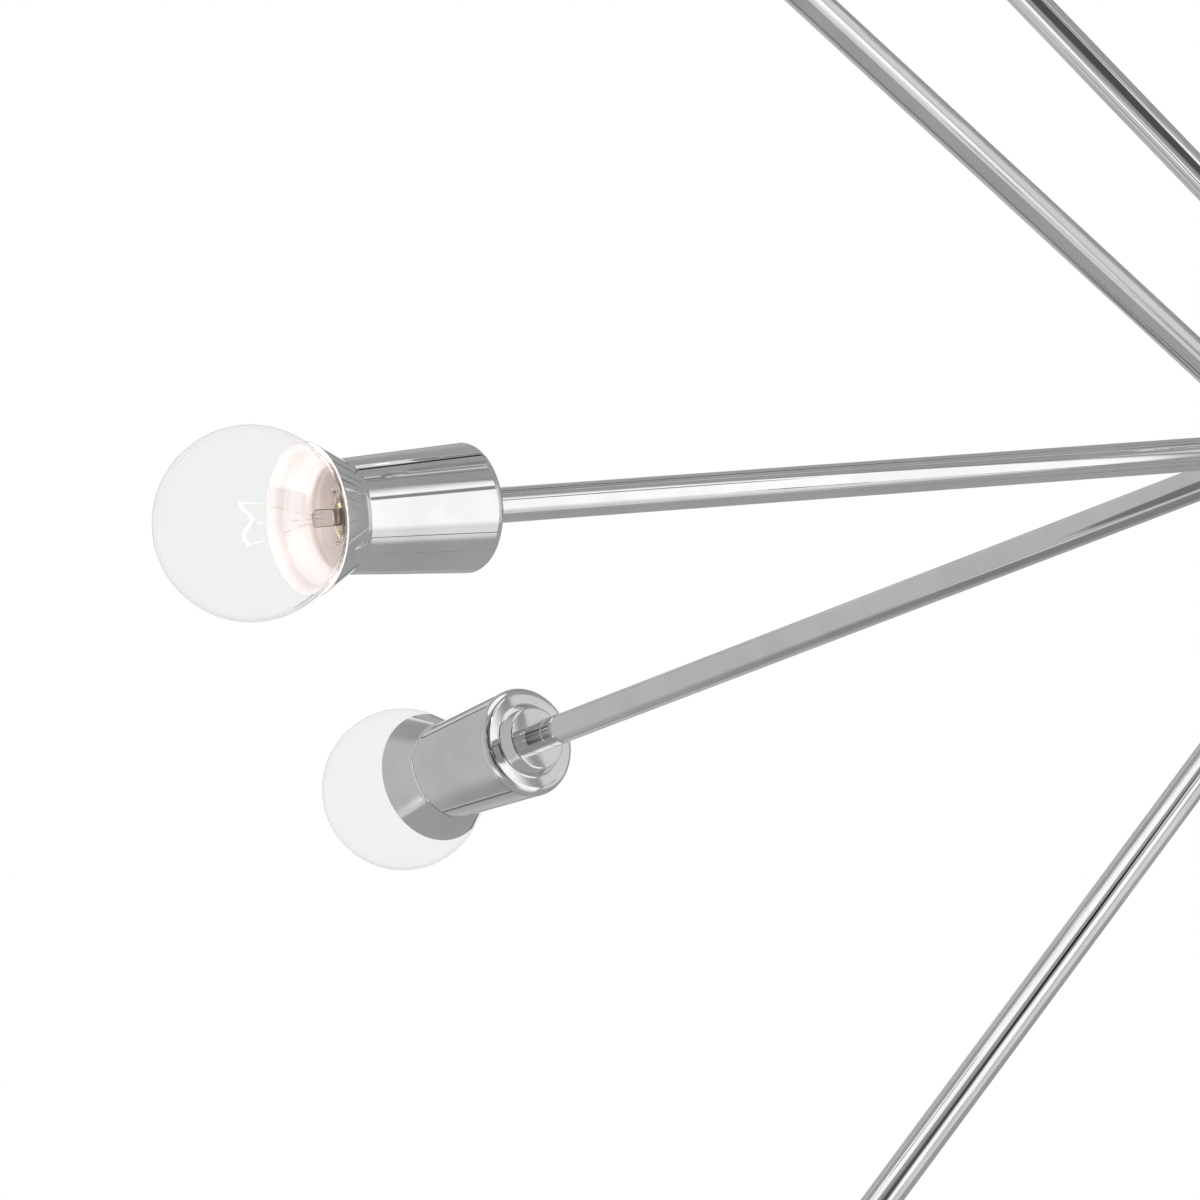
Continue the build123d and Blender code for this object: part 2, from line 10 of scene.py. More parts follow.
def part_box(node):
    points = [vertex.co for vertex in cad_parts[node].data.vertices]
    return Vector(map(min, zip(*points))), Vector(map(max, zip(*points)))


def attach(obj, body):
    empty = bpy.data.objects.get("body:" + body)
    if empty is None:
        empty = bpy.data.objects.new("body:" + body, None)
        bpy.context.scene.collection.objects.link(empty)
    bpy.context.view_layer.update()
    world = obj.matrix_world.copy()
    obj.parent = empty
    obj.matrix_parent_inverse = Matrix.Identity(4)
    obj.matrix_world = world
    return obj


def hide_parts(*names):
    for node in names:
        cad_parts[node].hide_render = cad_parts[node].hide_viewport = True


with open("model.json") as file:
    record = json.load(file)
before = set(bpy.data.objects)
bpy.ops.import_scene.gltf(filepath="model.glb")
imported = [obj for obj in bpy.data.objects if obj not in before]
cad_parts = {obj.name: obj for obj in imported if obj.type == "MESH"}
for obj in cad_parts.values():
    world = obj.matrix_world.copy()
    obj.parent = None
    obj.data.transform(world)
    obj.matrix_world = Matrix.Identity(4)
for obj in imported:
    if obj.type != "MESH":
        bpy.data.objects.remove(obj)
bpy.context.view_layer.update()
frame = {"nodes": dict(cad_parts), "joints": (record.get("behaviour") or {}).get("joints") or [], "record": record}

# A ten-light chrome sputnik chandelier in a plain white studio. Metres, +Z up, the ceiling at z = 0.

MM = 0.001
SHARP_ANGLE = 38  # degrees between two faces past which their edge is drawn sharp
LIGHTS = [f"{number:02d}" for number in range(1, 11)]

# ---------------------------------------------------------------- sizes, in millimetres
TUBE_R = 9.525 / 2
TUBE_BORE_R = 2.6
SPIGOT_R = 4.0
HUB_SPIGOT = 5.0
HEAD_SPIGOT = 16.0
TUBE_EDGE = 0.15

CUP_WALL = 1.0
BOSS_HEIGHT = 4.0
BOSS_FACE_R = 10.0
BOSS_BASE_R = 11.6
BOSS_ROUND = 0.8
SHOULDER_R = 17.6
SHOULDER_ROUND = 2.6
NECK_R = 15.4
NECK_ROUND = 4.0  # the crease as the photograph shows it; the solid has a smaller round
BODY_LENGTH = 41.5
RIM_R = 20.8
RIM_WALL = 0.8
RIM_HEIGHT = 51.5
ARM_HOLE_R = 4.05

BULB_TIP = 21.385  # above the cup's back face; the bulb's other heights are above its tip
JOINT_ABOVE_TIP = 8.0  # where the bulb's joint lies on its axis
GLOBE_R = 26.0
GLASS_WALL = 0.8
BULB_LENGTH = 73.5
GLASS_NECK_R = 7.2
NECK_SWELL = 3.0
GLASS_FLARE = 1.2  # height over which the neck widens above the base
GLASS_FOOT = 6.0
GLASS_FOOT_WALL = 1.0
CEMENT_GAP = 0.1
BASE_R = 5.9
BASE_WALL = 0.4
BASE_FLANGE_R = 7.0
BASE_SHELL_TOP = 15.0
BASE_HEIGHT = 17.5
BASE_FLOOR = 5.0
CONE_TOP = 3.8
THREAD_BOTTOM = 4.6
THREAD_TOP = 13.6
THREAD_PITCH = 2.54
THREAD_DEPTH = 0.3
THREAD_RUN_OUT = 1.2
THREAD_STEPS = 54
TIP_R = 2.3
TIP_ROUND = 0.6
TIP_HEIGHT = 1.2
MOUNT_ROD_R = 2.4
MOUNT_ROD_TOP = 28.0
MOUNT_ROD_ROUND = 0.9
MOUNT_FLARE = 1.5  # how far the glass rod's foot stands out, and the round that leads to it
MOUNT_FLARE_ROUND = 1.8
MOUNT_GAP = 0.05  # between the rod and the glass foot below it
PINCH_LENGTH = 7.0
PINCH = 0.55  # share by which the rod's top is flattened
FILAMENT_SPAN = 10.6
FILAMENT_HEIGHT = 48.6
FILAMENT_WAVE = 1.5
FILAMENT_WAVES = 1.25
COIL_R = 0.26
COIL_TURNS = 70
COIL_STEPS = 6  # points for each turn of the coil
COIL_WIRE_R = 0.08
LEAD_WIRE_R = 0.12
LEAD_START = 3.0  # how far below the glass rod's top the lead wires begin
LEAD_SPACING = 1.1  # from the rod's axis to each lead wire

# ---------------------------------------------------------------- the photograph's camera
LENS = 270.0
CAMERA_PLACE = Vector((-1.6023, -2.0011, -0.2552))
CAMERA_AZIMUTH = 56.24
CAMERA_PITCH = -6.918

# ---------------------------------------------------------------- floor and lamps, in metres and watts
FLOOR_Z = -2.0
FLOOR_R = 90.0
FLOOR_FADE = 2.0, 5.0  # distances from its middle between which the floor turns white
# Large lamps: name, place, size, power.
LAMPS = [
    ("key_lamp", (1.6, -2.4, 1.6), 1.6, 45),
    ("fill_lamp", (-2.6, -0.6, 0.9), 1.8, 25),
]
GLOW_POWER = 0.055
GLOW_COLOUR = (1.0, 0.93, 0.9)
GLOW_R = 0.003


def direction(azimuth, elevation):
    """The unit vector at an azimuth from +X and an elevation, in degrees."""
    flat = cos(radians(elevation))
    return Vector((flat * cos(radians(azimuth)), flat * sin(radians(azimuth)), sin(radians(elevation))))


def set_camera():
    data = bpy.data.cameras.new("camera")
    data.lens = LENS
    data.clip_end = 200
    camera = bpy.data.objects.new("camera", data)
    camera.location = CAMERA_PLACE
    camera.rotation_euler = direction(CAMERA_AZIMUTH, CAMERA_PITCH).to_track_quat("-Z", "Y").to_euler()
    bpy.context.scene.collection.objects.link(camera)
    bpy.context.scene.camera = camera


# ---------------------------------------------------------------- shader building
class Shader:
    """A node tree that is filled from Python: add() makes a node and returns its first output."""

    def __init__(self, tree):
        self.tree = tree
        tree.nodes.clear()

    def node(self, kind, values=(), **settings):
        node = self.tree.nodes.new(kind)
        for name, value in settings.items():
            setattr(node, name, value)
        for name, value in dict(values).items():
            socket = node.inputs[name]
            if isinstance(value, bpy.types.NodeSocket):
                self.tree.links.new(value, socket)
            else:
                socket.default_value = value
        return node

    def add(self, kind, values=(), **settings):
        return self.node(kind, values, **settings).outputs[0]

    def math(self, operation, *values):
        return self.add("ShaderNodeMath", dict(enumerate(values)), operation=operation)

    def dot(self, vector, other):
        values = {0: vector, 1: other}
        return self.node("ShaderNodeVectorMath", values, operation="DOT_PRODUCT").outputs["Value"]

    def ramp(self, value, low, high, to_low=0.0, to_high=1.0):
        values = {"Value": value, "From Min": low, "From Max": high, "To Min": to_low, "To Max": to_high}
        return self.add("ShaderNodeMapRange", values, interpolation_type="SMOOTHSTEP")

    def mix(self, factor, low, high):
        return self.node(
            "ShaderNodeMix", {0: factor, 2: low, 3: high}, data_type="FLOAT"
        ).outputs[0]

    def blend(self, factor, low, high):
        return self.node(
            "ShaderNodeMix", {0: factor, 6: (*low, 1), 7: (*high, 1)}, data_type="RGBA"
        ).outputs[2]

    def noise(self, place, scale, detail=3.0, roughness=0.5):
        values = {"Vector": place, "Scale": scale, "Detail": detail, "Roughness": roughness}
        return self.add("ShaderNodeTexNoise", values)


def new_material(name):
    material = bpy.data.materials.new(name)
    material.use_nodes = True
    shader = Shader(material.node_tree)
    place = shader.node("ShaderNodeTexCoord").outputs["Object"]
    return material, shader, place


def surface(shader, **inputs):
    """Ends a material with one Principled surface; an underscore in a name stands for a space."""
    values = {name.replace("_", " "): value for name, value in inputs.items()}
    principled = shader.add("ShaderNodeBsdfPrincipled", values)
    shader.node("ShaderNodeOutputMaterial", {"Surface": principled})


def turned_place(shader, place):
    """Coordinates that hardly change round the piece's own Z axis, as marks from turning do."""
    parts = shader.node("ShaderNodeSeparateXYZ", {0: place}).outputs
    radius = shader.node("ShaderNodeVectorMath", {0: shader.add(
        "ShaderNodeCombineXYZ", {0: parts[0], 1: parts[1]})}, operation="LENGTH").outputs["Value"]
    angle = shader.math("ARCTAN2", parts[1], parts[0])
    slow_angle = shader.math("MULTIPLY", shader.math("SINE", angle), 0.0004)
    return shader.add("ShaderNodeCombineXYZ", {0: radius, 1: slow_angle, 2: parts[2]})


# ---------------------------------------------------------------- materials
def chrome(name, dark, light, turned=False, low=0.015, high=0.06):
    """Mirror-polished plating: faint handling marks, a slight waviness and, on turned pieces, fine rings."""
    material, shader, place = new_material(name)
    smudges = shader.noise(place, 60, 4)
    specks = shader.noise(place, 900, 2)
    wave = shader.noise(place, 35, 1)
    bump = shader.add("ShaderNodeBump", {"Height": wave, "Strength": 0.06, "Distance": 0.0006})
    if turned:
        rings = shader.noise(turned_place(shader, place), 2600, 2)
        bump = shader.add(
            "ShaderNodeBump", {"Height": rings, "Strength": 0.035, "Distance": 0.00004, "Normal": bump}
        )
    wear = shader.math("MULTIPLY", smudges, specks)
    surface(
        shader,
        Base_Color=shader.blend(shader.ramp(smudges, 0.35, 0.65), dark, light),
        Metallic=1.0,
        Roughness=shader.ramp(wear, 0.12, 0.5, low, high),
        Normal=bump,
    )
    return material


def cup_inside():
    """The unpolished inside of a cup: thin, satin, slightly coppery plating with its spinning rings."""
    material, shader, place = new_material("cup_inside_satin")
    rings = shader.noise(turned_place(shader, place), 900, 3)
    bands = shader.noise(turned_place(shader, place), 340, 2)
    bump = shader.add("ShaderNodeBump", {"Height": rings, "Strength": 0.25, "Distance": 0.0001})
    surface(
        shader,
        Base_Color=shader.blend(shader.ramp(bands, 0.36, 0.62), (0.78, 0.7, 0.69), (0.92, 0.87, 0.86)),
        Metallic=0.4,
        Roughness=shader.ramp(rings, 0.3, 0.7, 0.28, 0.44),
        Normal=bump,
    )
    return material


def clear_glass(name, ior, dark, light):
    """Blown soda-lime glass with a faint change of tint and a trace of haze."""
    material, shader, place = new_material(name)
    wave = shader.noise(place, 45, 1)
    haze = shader.noise(place, 300, 3)
    surface(
        shader,
        Base_Color=shader.blend(wave, dark, light),
        Roughness=shader.ramp(haze, 0.4, 0.8, 0.0, 0.012),
        IOR=ior,
        Transmission_Weight=1.0,
    )
    return material


def brass(name, dark, light, low, high):
    """Rolled brass with a light tarnish."""
    material, shader, place = new_material(name)
    tarnish = shader.noise(place, 240, 5)
    grain = shader.noise(place, 2200, 2)
    surface(
        shader,
        Base_Color=shader.blend(shader.ramp(tarnish, 0.35, 0.65), dark, light),
        Metallic=1.0,
        Roughness=shader.ramp(tarnish, 0.3, 0.7, low, high),
        Normal=shader.add("ShaderNodeBump", {"Height": grain, "Strength": 0.1, "Distance": 0.00003}),
    )
    return material


def insulator():
    """Cream moulded plastic."""
    material, shader, place = new_material("socket_insulator_plastic")
    cloud = shader.noise(place, 130, 4)
    grain = shader.noise(place, 3500, 2)
    surface(
        shader,
        Base_Color=shader.blend(cloud, (0.8, 0.75, 0.66), (0.88, 0.85, 0.78)),
        Roughness=shader.ramp(cloud, 0.3, 0.7, 0.42, 0.6),
        Normal=shader.add("ShaderNodeBump", {"Height": grain, "Strength": 0.2, "Distance": 0.00005}),
    )
    return material


def zinc():
    """Bright zinc plating on small turned and cut parts."""
    material, shader, place = new_material("plated_nut_zinc")
    cloud = shader.noise(place, 180, 4)
    scratches = shader.noise(place, 1800, 3, 0.7)
    surface(
        shader,
        Base_Color=shader.blend(cloud, (0.56, 0.57, 0.58), (0.74, 0.74, 0.73)),
        Metallic=1.0,
        Roughness=shader.ramp(scratches, 0.3, 0.7, 0.2, 0.38),
        Normal=shader.add("ShaderNodeBump", {"Height": scratches, "Strength": 0.12, "Distance": 0.00004}),
    )
    return material


def galvanised():
    """Hot-dipped strap with its spangles."""
    material, shader, place = new_material("galvanised_spangle")
    cell = shader.node("ShaderNodeTexVoronoi", {"Vector": place, "Scale": 260})
    tone = shader.node("ShaderNodeSeparateColor", {0: cell.outputs["Color"]}).outputs[0]
    scratches = shader.noise(place, 1400, 4, 0.65)
    surface(
        shader,
        Base_Color=shader.blend(tone, (0.46, 0.48, 0.5), (0.66, 0.68, 0.7)),
        Metallic=0.95,
        Roughness=shader.mix(tone, 0.3, 0.5),
        Normal=shader.add("ShaderNodeBump", {"Height": scratches, "Strength": 0.15, "Distance": 0.00006}),
    )
    return material


def lit_filament():
    """Tungsten at working heat, a little cooler in patches."""
    material, shader, place = new_material("filament_lit")
    heat = shader.noise(place, 400, 2)
    surface(
        shader,
        Base_Color=(0.25, 0.23, 0.21, 1),
        Roughness=0.6,
        Emission_Color=shader.blend(heat, (1.0, 0.72, 0.45), (1.0, 0.88, 0.7)),
        Emission_Strength=14.0,
    )
    return material


def lead_wire():
    """Nickel wire."""
    material, shader, place = new_material("lead_wire_nickel")
    cloud = shader.noise(place, 500, 3)
    surface(
        shader,
        Base_Color=shader.blend(cloud, (0.78, 0.76, 0.73), (0.9, 0.88, 0.85)),
        Metallic=1.0,
        Roughness=shader.ramp(cloud, 0.3, 0.7, 0.2, 0.35),
    )
    return material


def pale_floor():
    """A pale floor that keeps the shadow, turns white further out and can be looked through from below."""
    material, shader, place = new_material("floor_pale")
    distance = shader.node("ShaderNodeVectorMath", {0: place}, operation="LENGTH").outputs["Value"]
    path = shader.node("ShaderNodeLightPath").outputs
    seen = shader.math("MAXIMUM", path["Is Camera Ray"], path["Is Transmission Ray"])
    far = shader.math("MULTIPLY", shader.ramp(distance, *FLOOR_FADE), seen)
    cloud = shader.noise(place, 3)
    near = shader.add(
        "ShaderNodeBsdfDiffuse", {"Color": shader.blend(cloud, (0.9, 0.9, 0.9), (0.93, 0.93, 0.93))}
    )
    strength = shader.mix(path["Is Camera Ray"], THROUGH_GLASS, 1.0)
    white = shader.add("ShaderNodeEmission", {"Color": (1, 1, 1, 1), "Strength": strength})
    mixed = shader.add("ShaderNodeMixShader", {0: far, 1: near, 2: white})
    from_below = shader.node("ShaderNodeNewGeometry").outputs["Backfacing"]
    clear = shader.add("ShaderNodeBsdfTransparent")
    one_sided = shader.add("ShaderNodeMixShader", {0: from_below, 1: mixed, 2: clear})
    shader.node("ShaderNodeOutputMaterial", {"Surface": one_sided})
    return material


# ---------------------------------------------------------------- mesh building
def rounded(*corners, steps=6):
    """Outline points from corners (radius, height, round), each round one a tangent arc."""
    points = []
    for index, (x, y, size) in enumerate(corners):
        here = complex(x, y)
        if not size:
            points.append(here)
            continue
        before, after = (complex(*corners[i % len(corners)][:2]) - here for i in (index - 1, index + 1))
        before, after = before / abs(before), after / abs(after)
        half = abs(phase(after / before)) / 2
        middle = (before + after) / abs(before + after)
        centre = here + middle * size / sin(half)
        start, end = (here + way * size / tan(half) - centre for way in (before, after))
        turn = phase(end / start)
        points += [centre + start * rect(1, turn * k / steps) for k in range(steps + 1)]
    return [(point.real, point.imag) for point in points]


def arc(radius, height, size, start, end, steps):
    """Points on a circle about (radius, height) from one angle to another, in degrees from +radius."""
    angles = (radians(start + (end - start) * k / steps) for k in range(steps + 1))
    return [(radius + size * cos(a), height + size * sin(a)) for a in angles]


def lathe(name, outline, sides, closed=True, thread=None, inside=()):
    """A mesh turned about Z from outline points (radius, height) in millimetres, anticlockwise.

    thread(height, angle) adds to the radius. inside is a pair of points: the faces from the first
    to the last of them take slot 1.
    """
    mesh = bmesh.new()
    rings = []
    for radius, height in outline:
        if radius < 1e-6:
            rings.append([mesh.verts.new((0, 0, height * MM))] * sides)
            continue
        ring = []
        for k in range(sides):
            angle = 2 * pi * k / sides
            r = radius + (thread(height, angle) if thread else 0)
            ring.append(mesh.verts.new((r * cos(angle) * MM, r * sin(angle) * MM, height * MM)))
        rings.append(ring)
    pairs = list(zip(rings, rings[1:] + rings[:1])) if closed else list(zip(rings, rings[1:]))
    for index, (low, high) in enumerate(pairs):
        for k in range(sides):
            corners = [low[k], low[(k + 1) % sides], high[(k + 1) % sides], high[k]]
            corners = list(dict.fromkeys(corners))
            if len(corners) < 3:
                continue
            face = mesh.faces.new(corners)
            if inside and inside[0] <= index < inside[1]:
                face.material_index = 1
    data = bpy.data.meshes.new(name)
    mesh.to_mesh(data)
    mesh.free()
    data.shade_smooth()
    data.set_sharp_from_angle(angle=radians(SHARP_ANGLE))
    return data


def piece(name, data, place, body, materials, replaces=()):
    """Puts a mesh into the scene as one named piece of the object."""
    made = bpy.data.objects.new(name, data)
    bpy.context.scene.collection.objects.link(made)
    made.matrix_world = place
    if not data.materials:
        for material in materials:
            data.materials.append(material)
    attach(made, body)
    if replaces:
        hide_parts(*replaces)
    return made


def axis_frame(origin, axis):
    """The matrix that carries the local Z axis onto axis, from origin."""
    return Matrix.Translation(origin) @ axis.to_track_quat("Z", "Y").to_matrix().to_4x4()


def spread(node, axis):
    """The least and greatest distance of a CAD node along an axis through the world's origin."""
    distances = [vertex.co.dot(axis) for vertex in frame["nodes"][node].data.vertices]
    return min(distances), max(distances)


# ---------------------------------------------------------------- the pieces of one light
def tube_mesh(name, length, bottom_spigot, top_spigot):
    outline = rounded(
        (TUBE_BORE_R, -bottom_spigot, 0),
        (SPIGOT_R, -bottom_spigot, 0),
        (SPIGOT_R, 0, 0),
        (TUBE_R, 0, TUBE_EDGE),
        (TUBE_R, length, TUBE_EDGE),
        (SPIGOT_R, length, 0),
        (SPIGOT_R, length + top_spigot, 0),
        (TUBE_BORE_R, length + top_spigot, 0),
    )
    return lathe(name, outline, sides=160)


def cup_mesh():
    outer = rounded(
        (ARM_HOLE_R, -BOSS_HEIGHT, 0),
        (BOSS_FACE_R, -BOSS_HEIGHT, BOSS_ROUND),
        (BOSS_BASE_R, 0, BOSS_ROUND),
        (SHOULDER_R, 0, SHOULDER_ROUND),
        (NECK_R, BODY_LENGTH, NECK_ROUND),
        (RIM_R, RIM_HEIGHT, RIM_WALL / 4),
        (RIM_R - RIM_WALL, RIM_HEIGHT, RIM_WALL / 4),
        (NECK_R - CUP_WALL, BODY_LENGTH, NECK_ROUND),
        (SHOULDER_R - CUP_WALL, CUP_WALL, SHOULDER_ROUND - CUP_WALL),
        (BOSS_BASE_R - CUP_WALL, CUP_WALL, 0),
        (BOSS_FACE_R - CUP_WALL, CUP_WALL - BOSS_HEIGHT, 0),
        (ARM_HOLE_R, CUP_WALL - BOSS_HEIGHT, 0),
        steps=10,
    )
    rim_top = [i for i, (_, height) in enumerate(outer) if height > RIM_HEIGHT - RIM_WALL / 8]
    return lathe("cup_shell", outer, sides=192, inside=(rim_top[0], len(outer) - 1))


def glass_mesh():
    """Globe, neck and the foot that is cemented into the screw base."""
    centre = BULB_LENGTH - GLOBE_R
    inner_r = GLOBE_R - GLASS_WALL
    inner_neck_r = GLASS_NECK_R - GLASS_WALL
    seat_r = BASE_R - BASE_WALL - CEMENT_GAP
    grip_r = BASE_FLANGE_R - BASE_WALL - CEMENT_GAP
    neck_foot = BASE_HEIGHT + GLASS_FLARE
    foot_inside = GLASS_FOOT + GLASS_FOOT_WALL
    outer_join = -90 + asin_degrees((GLASS_NECK_R + NECK_SWELL) / (GLOBE_R + NECK_SWELL))
    inner_join = -90 + asin_degrees((inner_neck_r + NECK_SWELL) / (inner_r + NECK_SWELL))
    outside = arc(0, centre, GLOBE_R, outer_join, 90, 72)
    outside[-1] = (0, centre + GLOBE_R)
    inside = arc(0, centre, inner_r, 90, inner_join, 72)
    inside[0] = (0, centre + inner_r)
    outline = [
        (0, GLASS_FOOT),
        (seat_r, GLASS_FOOT),
        (seat_r, BASE_SHELL_TOP),
        (grip_r, BASE_HEIGHT),
        (GLASS_NECK_R, neck_foot),
        *swell(centre, GLASS_NECK_R, GLOBE_R),
        *outside[1:],
        *inside[:-1],
        *swell(centre, inner_neck_r, inner_r)[::-1],
        (inner_neck_r, neck_foot),
        (grip_r - GLASS_WALL, BASE_HEIGHT),
        (seat_r - GLASS_WALL, BASE_SHELL_TOP),
        (seat_r - GLASS_WALL, foot_inside),
        (0, foot_inside),
    ]
    return lathe("bulb_glass", [(r, h + BULB_TIP) for r, h in outline], sides=128, closed=False)


def stem_mesh():
    """The glass rod that carries the wires, flared at its foot and pinched flat at its top."""
    foot = GLASS_FOOT + GLASS_FOOT_WALL + MOUNT_GAP
    flare_top = foot + MOUNT_FLARE_ROUND
    shoulder = MOUNT_ROD_TOP - MOUNT_ROD_ROUND
    outline = [
        (0, foot),
        *arc(MOUNT_ROD_R + MOUNT_FLARE, flare_top, MOUNT_FLARE_ROUND, -90, -180, 6),
        *arc(MOUNT_ROD_R - MOUNT_ROD_ROUND, shoulder, MOUNT_ROD_ROUND, 0, 90, 6),
        (0, MOUNT_ROD_TOP),
    ]
    data = lathe("bulb_stem", [(r, h + BULB_TIP) for r, h in outline], sides=48, closed=False)
    pinch_from = MOUNT_ROD_TOP - PINCH_LENGTH + BULB_TIP
    for vertex in data.vertices:
        share = min(max((vertex.co.z / MM - pinch_from) / PINCH_LENGTH * 2, 0), 1)
        vertex.co.x *= 1 - PINCH * share
    return data


def asin_degrees(ratio):
    return asin(ratio) * 180 / pi


def swell(centre, neck_r, globe_r):
    """The concave arc from a straight neck up to the globe."""
    reach = sqrt((globe_r + NECK_SWELL) ** 2 - (neck_r + NECK_SWELL) ** 2)
    join = asin_degrees((neck_r + NECK_SWELL) / (globe_r + NECK_SWELL))
    return arc(neck_r + NECK_SWELL, centre - reach, NECK_SWELL, 180, 90 + join, 10)


def base_mesh():
    """Screw base with its rolled thread, cone and contact tip."""

    def thread(height, angle):
        height -= BULB_TIP
        if not THREAD_BOTTOM < height < THREAD_TOP:
            return 0
        to_end = min(height - THREAD_BOTTOM, THREAD_TOP - height)
        fade = min(1, to_end / THREAD_RUN_OUT)
        return -THREAD_DEPTH * fade * (0.5 - 0.5 * cos(2 * pi * height / THREAD_PITCH - angle))

    span = THREAD_TOP - THREAD_BOTTOM
    shell = [(BASE_R, THREAD_BOTTOM + span * k / THREAD_STEPS) for k in range(THREAD_STEPS + 1)]
    inner_r = BASE_R - BASE_WALL - THREAD_DEPTH
    outline = [
        (0, 0),
        *arc(TIP_R - TIP_ROUND, TIP_ROUND, TIP_ROUND, -90, 0, 5),
        (TIP_R, TIP_HEIGHT),
        (BASE_R, CONE_TOP),
        *shell,
        (BASE_R, BASE_SHELL_TOP),
        (BASE_FLANGE_R, BASE_HEIGHT),
        (BASE_FLANGE_R - BASE_WALL, BASE_HEIGHT),
        (inner_r, BASE_SHELL_TOP),
        (inner_r, BASE_FLOOR),
        (0, BASE_FLOOR),
    ]
    lifted = [(r, h + BULB_TIP) for r, h in outline]
    return lathe("bulb_base", lifted, sides=64, closed=False, thread=thread)


def wire(name, lines, thickness, resolution):
    """Round wire along one or more lines of points, in millimetres, as a mesh."""
    curve = bpy.data.curves.new(name, "CURVE")
    curve.dimensions = "3D"
    curve.resolution_u = resolution
    curve.bevel_depth = thickness * MM
    curve.bevel_resolution = 2
    curve.use_fill_caps = True
    for points in lines:
        spline = curve.splines.new("NURBS")
        spline.points.add(len(points) - 1)
        for target, (x, y, z) in zip(spline.points, points):
            target.co = (x * MM, y * MM, (z + BULB_TIP) * MM, 1)
        spline.order_u = 3
        spline.use_endpoint_u = True
    former = bpy.data.objects.new(name, curve)
    data = bpy.data.meshes.new_from_object(former)
    data.name = name
    bpy.data.objects.remove(former)
    bpy.data.curves.remove(curve)
    data.shade_smooth()
    return data


def filament_line(share):
    """A point of the filament's middle line, which waves between its two lead wires."""
    across = (share - 0.5) * FILAMENT_SPAN
    wave = sin(2 * pi * share * FILAMENT_WAVES)
    return Vector((0.5 * FILAMENT_WAVE * cos(pi * share), across, FILAMENT_HEIGHT + FILAMENT_WAVE * wave))


def filament_wire():
    """The coiled filament."""
    points = []
    steps = COIL_TURNS * COIL_STEPS
    for k in range(steps + 1):
        turn = 2 * pi * COIL_TURNS * k / steps
        middle = filament_line(k / steps)
        points.append(middle + Vector((COIL_R * cos(turn), 0, COIL_R * sin(turn))))
    return wire("filament", [points], COIL_WIRE_R, resolution=2)


def lead_wires():
    """Two lead wires and one middle support, from the glass rod to the filament."""
    start = MOUNT_ROD_TOP - LEAD_START
    lines = []
    for side in (-1, 1):
        end = filament_line((side + 1) / 2)
        lines.append([
            Vector((0, LEAD_SPACING * side, start)),
            Vector((0, LEAD_SPACING * side, start + 5)),
            Vector((0, LEAD_SPACING * 2 * side, start + 9)),
            Vector((end.x, end.y * 0.93, FILAMENT_HEIGHT - 5)),
            Vector((end.x, end.y, end.z - 0.8)),
            end + Vector((0, 0.6 * side, 0.5)),
            end + Vector((0, 0.1 * side, 0.9)),
        ])
    middle = filament_line(0.5)
    lines.append([
        Vector((0.6, 0, start)),
        Vector((0.9, 0, start + 8)),
        middle + Vector((0.9, 0, -2)),
        middle + Vector((0.6, 0, 0.4)),
        middle + Vector((-0.3, 0, 0.7)),
    ])
    return wire("lead_wires", lines, LEAD_WIRE_R, resolution=10)


def make_lights(materials):
    """The ten lights, each set on its bulb's joint axis."""
    joints = {joint["name"]: joint for joint in frame["joints"]}
    cup, glass, stem, base = cup_mesh(), glass_mesh(), stem_mesh(), base_mesh()
    filament, leads = filament_wire(), lead_wires()
    tubes = {}
    for number in LIGHTS:
        joint = joints[f"bulb_turn_{number}"]
        axis = Vector(joint["axis"]).normalized()
        back = Vector(joint["pos_m"]) - axis * (JOINT_ABOVE_TIP + BULB_TIP) * MM
        head = axis_frame(back, axis)

        low, high = spread(f"arm_{number}", axis)
        length = round((high - low) / MM - HUB_SPIGOT - HEAD_SPIGOT, 2)
        if length not in tubes:
            tubes[length] = tube_mesh("arm", length, HUB_SPIGOT, HEAD_SPIGOT)
        start = back + axis * (low + HUB_SPIGOT * MM - back.dot(axis))
        piece(f"arm_tube_{number}", tubes[length], axis_frame(start, axis), "fixture",
              [materials["tube"]], [f"arm_{number}"])
        piece(f"cup_{number}", cup, head, "fixture",
              [materials["cup"], materials["cup_inside"]], [f"cup_shell_{number}"])
        bulb = f"bulb_{number}"
        turn = head.to_3x3().to_4x4()
        turned_glass = glass.copy()
        turned_glass.transform(turn)
        globe = piece(f"globe_{number}", turned_glass, head @ turn.inverted(), bulb,
                      [materials["glass"]], [f"bulb_glass_{number}"])
        globe.visible_shadow = False
        glass_stem = piece(f"glass_stem_{number}", stem, head, bulb, [materials["stem_glass"]])
        glass_stem.visible_shadow = False
        piece(f"screw_base_{number}", base, head, bulb,
              [materials["base"]], [f"bulb_base_{number}"])
        piece(f"filament_{number}", filament, head, bulb, [materials["filament"]])
        piece(f"lead_wires_{number}", leads, head, bulb, [materials["lead_wire"]])
        add_glow(number, head)


def add_glow(number, head):
    """The light that a lit filament throws on the inside of its cup."""
    data = bpy.data.lights.new(f"glow_{number}", "POINT")
    data.energy = GLOW_POWER
    data.color = GLOW_COLOUR
    data.shadow_soft_size = GLOW_R
    light = bpy.data.objects.new(f"glow_{number}", data)
    bpy.context.scene.collection.objects.link(light)
    light.matrix_world = head @ Matrix.Translation((0, 0, (BULB_TIP + FILAMENT_HEIGHT) * MM))
    light.visible_glossy = False
    light.visible_camera = False
    light.visible_transmission = False
    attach(light, f"bulb_{number}")


